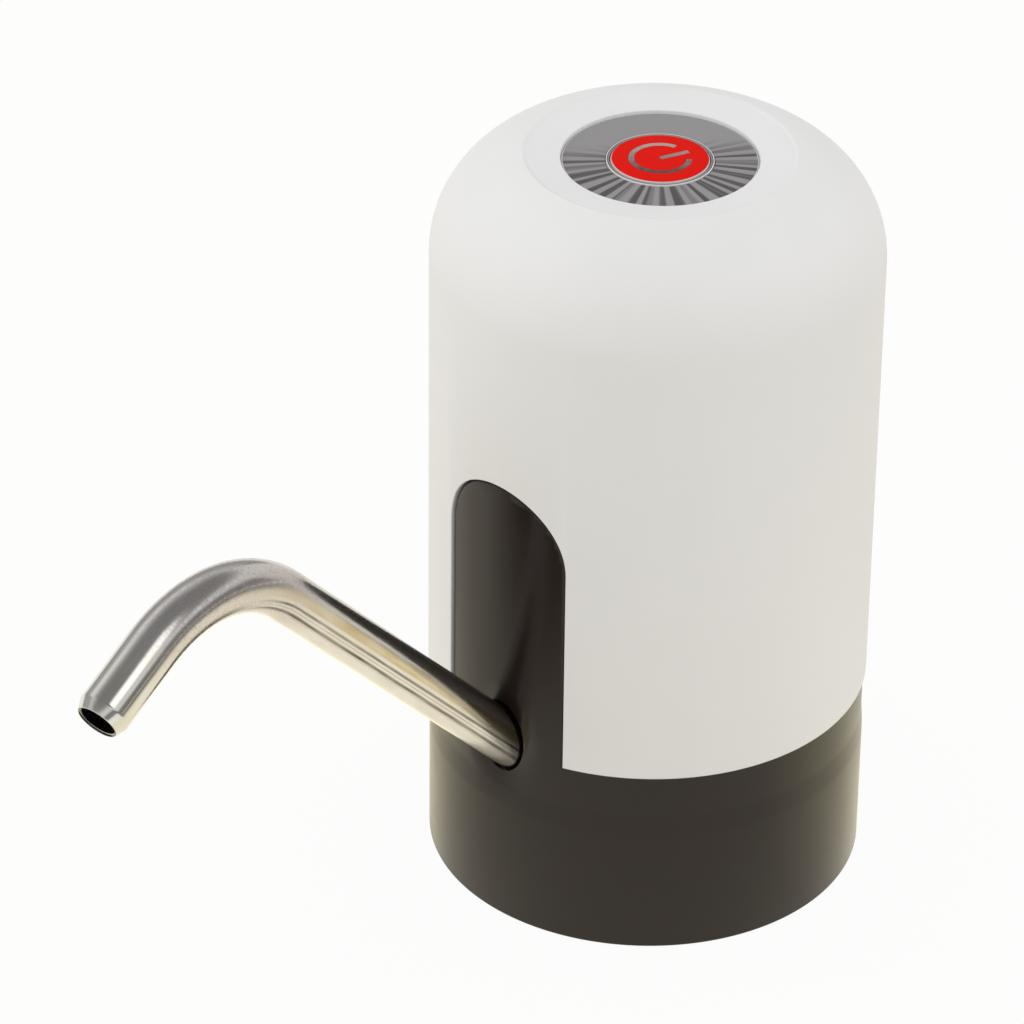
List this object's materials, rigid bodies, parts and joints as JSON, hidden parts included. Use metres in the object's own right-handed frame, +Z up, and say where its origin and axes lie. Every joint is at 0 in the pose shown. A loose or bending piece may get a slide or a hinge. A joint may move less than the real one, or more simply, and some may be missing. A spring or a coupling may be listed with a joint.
{
  "type": "electric water jug pump",
  "caption": "Round battery pump for a water bottle's neck: white shell, dark base with a neck socket, bent steel spout that lifts out, and a red push button set in a silver label.",
  "frame": {"origin": "on the body's axis, at the mouth of the neck socket, in the plane that the base stands on", "axes": "+Z up along the body's axis, -Y towards the spout, +X to the right seen from behind the spout looking along +Y"},
  "size_m": [0.073, 0.1645, 0.1287],
  "materials": {
    "white_shell": "satin",
    "dark_base": "satin",
    "stainless_tube": "polished",
    "label_silver": "satin",
    "button_red": "satin",
    "symbol_silver": "satin",
    "clear_ring": "gloss",
    "seal_rubber": "matte",
    "hose_silicone": "satin",
    "pump_plastic": "satin",
    "gear_plastic": "satin",
    "steel_screw": "satin",
    "motor_steel": "satin",
    "shaft_steel": "polished",
    "copper": "satin",
    "bronze": "satin",
    "magnet_ferrite": "matte",
    "dark_plastic": "satin",
    "cradle_plastic": "satin",
    "cell_wrap": "satin",
    "circuit_board": "satin",
    "lamp_plastic": "gloss",
    "lead_red": "satin",
    "lead_white": "satin"
  },
  "bodies": {
    "housing": {"outer_shell": "white_shell", "base_housing": "dark_base", "shell_screws": "steel_screw", "inlet_spigot": "pump_plastic", "inlet_seal": "seal_rubber", "inlet_hose": "hose_silicone", "outlet_hose": "hose_silicone", "pump_cover": "pump_plastic", "cover_gasket": "seal_rubber", "pump_body": "pump_plastic", "motor_plate": "pump_plastic", "idler_shaft": "shaft_steel", "shaft_seal": "seal_rubber", "pump_screws": "steel_screw", "pump_mount_screws": "steel_screw", "motor_screws": "steel_screw", "motor_can": "motor_steel", "motor_end_cap": "dark_plastic", "motor_magnets": "magnet_ferrite", "motor_brushes": "copper", "front_bush": "bronze", "rear_bush": "bronze", "motor_terminals": "bronze", "battery_cell": "cell_wrap", "battery_cap": "shaft_steel", "battery_tabs": "shaft_steel", "battery_cradle": "cradle_plastic", "main_board": "circuit_board", "board_chips": "dark_plastic", "board_screws": "steel_screw", "usb_socket": "motor_steel", "usb_tongue": "dark_plastic", "button_board": "circuit_board", "button_board_screws": "steel_screw", "tact_switch_body": "dark_plastic", "indicator_lamps": "lamp_plastic", "label_plate": "label_silver", "light_ring": "clear_ring", "battery_leads": "lead_red", "motor_leads": "lead_red", "switch_leads": "lead_white"},
    "button": {"button_cap": "button_red", "power_symbol": "symbol_silver", "tact_switch_plunger": "dark_plastic"},
    "spout_ring": {"spout_seal": "seal_rubber"},
    "spout": {"spout_tube": "stainless_tube"},
    "rotor": {"motor_shaft": "shaft_steel", "motor_armature": "motor_steel", "motor_windings": "copper", "commutator": "copper", "drive_gear": "gear_plastic"},
    "driven": {"driven_gear": "gear_plastic"}
  },
  "joints": [
    {"name": "button_press", "type": "slide", "parent": "housing", "child": "button", "axis": [0, 0, -1], "range_m": [0, 0.0004], "stiffness_N_per_m": 1500, "springref_m": -0.0002},
    {"name": "spout_swivel", "type": "hinge", "parent": "housing", "child": "spout_ring", "pos_m": [0, -0.035, 0.0343], "axis": [0, -0.6984, 0.7157], "continuous": true},
    {"name": "spout_pull", "type": "slide", "parent": "spout_ring", "child": "spout", "axis": [0, -0.6984, 0.7157], "range_m": [0, 0.012]},
    {"name": "motor_spin", "type": "hinge", "parent": "housing", "child": "rotor", "pos_m": [0.0055, -0.005, 0.0638], "axis": [0, 0, 1], "continuous": true},
    {"name": "driven_spin", "type": "hinge", "parent": "housing", "child": "driven", "pos_m": [-0.0055, -0.005, 0.0638], "axis": [0, 0, 1], "continuous": true}
  ],
  "couplings": [
    {"joint": "driven_spin", "follows": "motor_spin", "ratio": -1}
  ]
}
